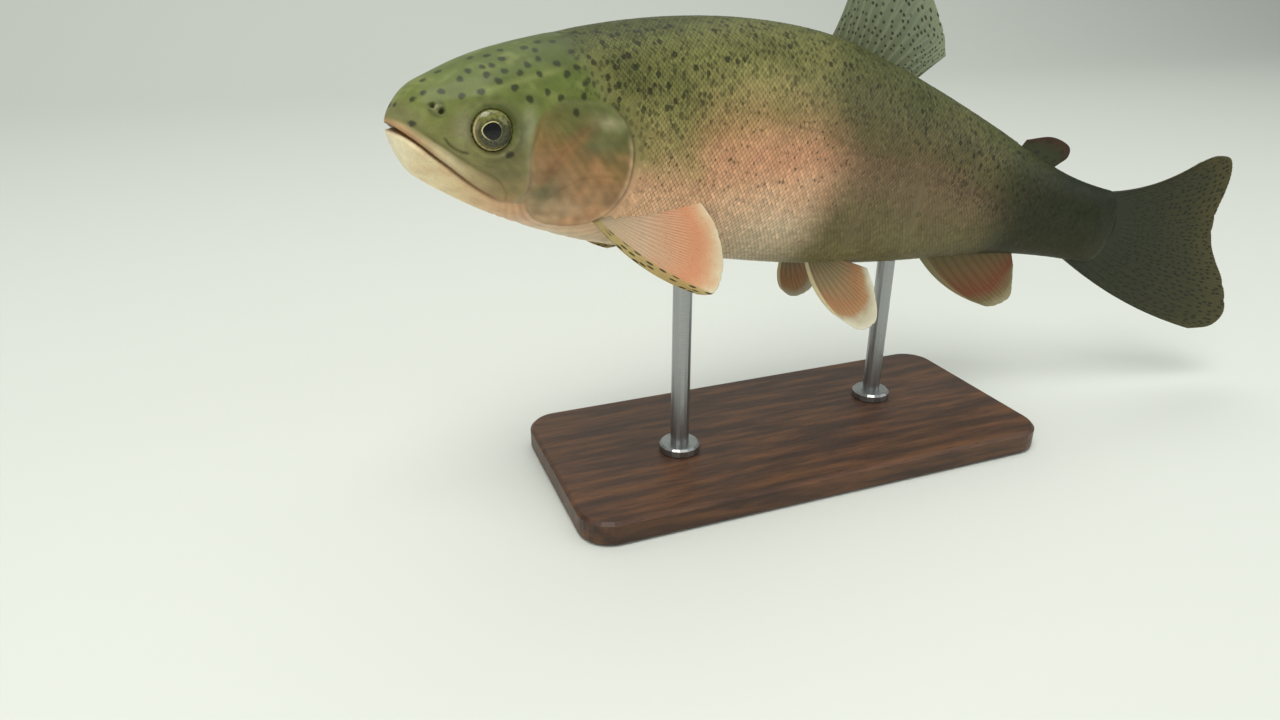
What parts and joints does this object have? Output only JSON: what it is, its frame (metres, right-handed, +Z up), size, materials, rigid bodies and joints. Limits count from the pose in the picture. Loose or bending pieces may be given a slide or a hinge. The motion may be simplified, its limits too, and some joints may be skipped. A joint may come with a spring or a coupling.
{
  "type": "rainbow trout",
  "caption": "Life-size rainbow trout swimming in a gentle bend, nose slightly up, held over a flat base by slim upright rods.",
  "frame": {"origin": "on the floor, under the middle of the bounding box", "axes": "+Z up, the fish lies along X with its head towards -X and its left side towards -Y"},
  "size_m": [0.4684, 0.11, 0.2409],
  "materials": {
    "head_skin": "wet skin, olive with dark spots",
    "jaw_skin": "wet skin, cream",
    "gill_plate": "wet skin over bone, bronze and rose",
    "eye": "clear wet cornea over a dark iris with a gold ring",
    "flank_skin": "wet scales, olive back, rose band, pale belly",
    "stalk_skin": "wet scales, dark olive",
    "dark_fin": "thin rayed membrane, olive with dark spots",
    "warm_fin": "thin rayed membrane, orange with a pale edge",
    "stand_wood": "dark stained hardwood, satin",
    "stand_metal": "brushed"
  },
  "bodies": {
    "root": {"head": "head_skin", "lower_jaw": "jaw_skin", "maxilla_left": "jaw_skin", "maxilla_right": "jaw_skin", "gill_cover_left": "gill_plate", "gill_cover_right": "gill_plate", "eye_left": "eye", "eye_right": "eye", "trunk_front": "flank_skin", "trunk_rear": "flank_skin", "tail_stalk": "stalk_skin", "tail_fin": "dark_fin", "dorsal_fin": "dark_fin", "adipose_fin": "dark_fin", "anal_fin": "warm_fin", "pectoral_fin_left": "warm_fin", "pectoral_fin_right": "warm_fin", "pelvic_fin_left": "warm_fin", "pelvic_fin_right": "warm_fin", "stand_base": "stand_wood", "stand_rod_front": "stand_metal", "stand_rod_rear": "stand_metal"}
  },
  "joints": []
}
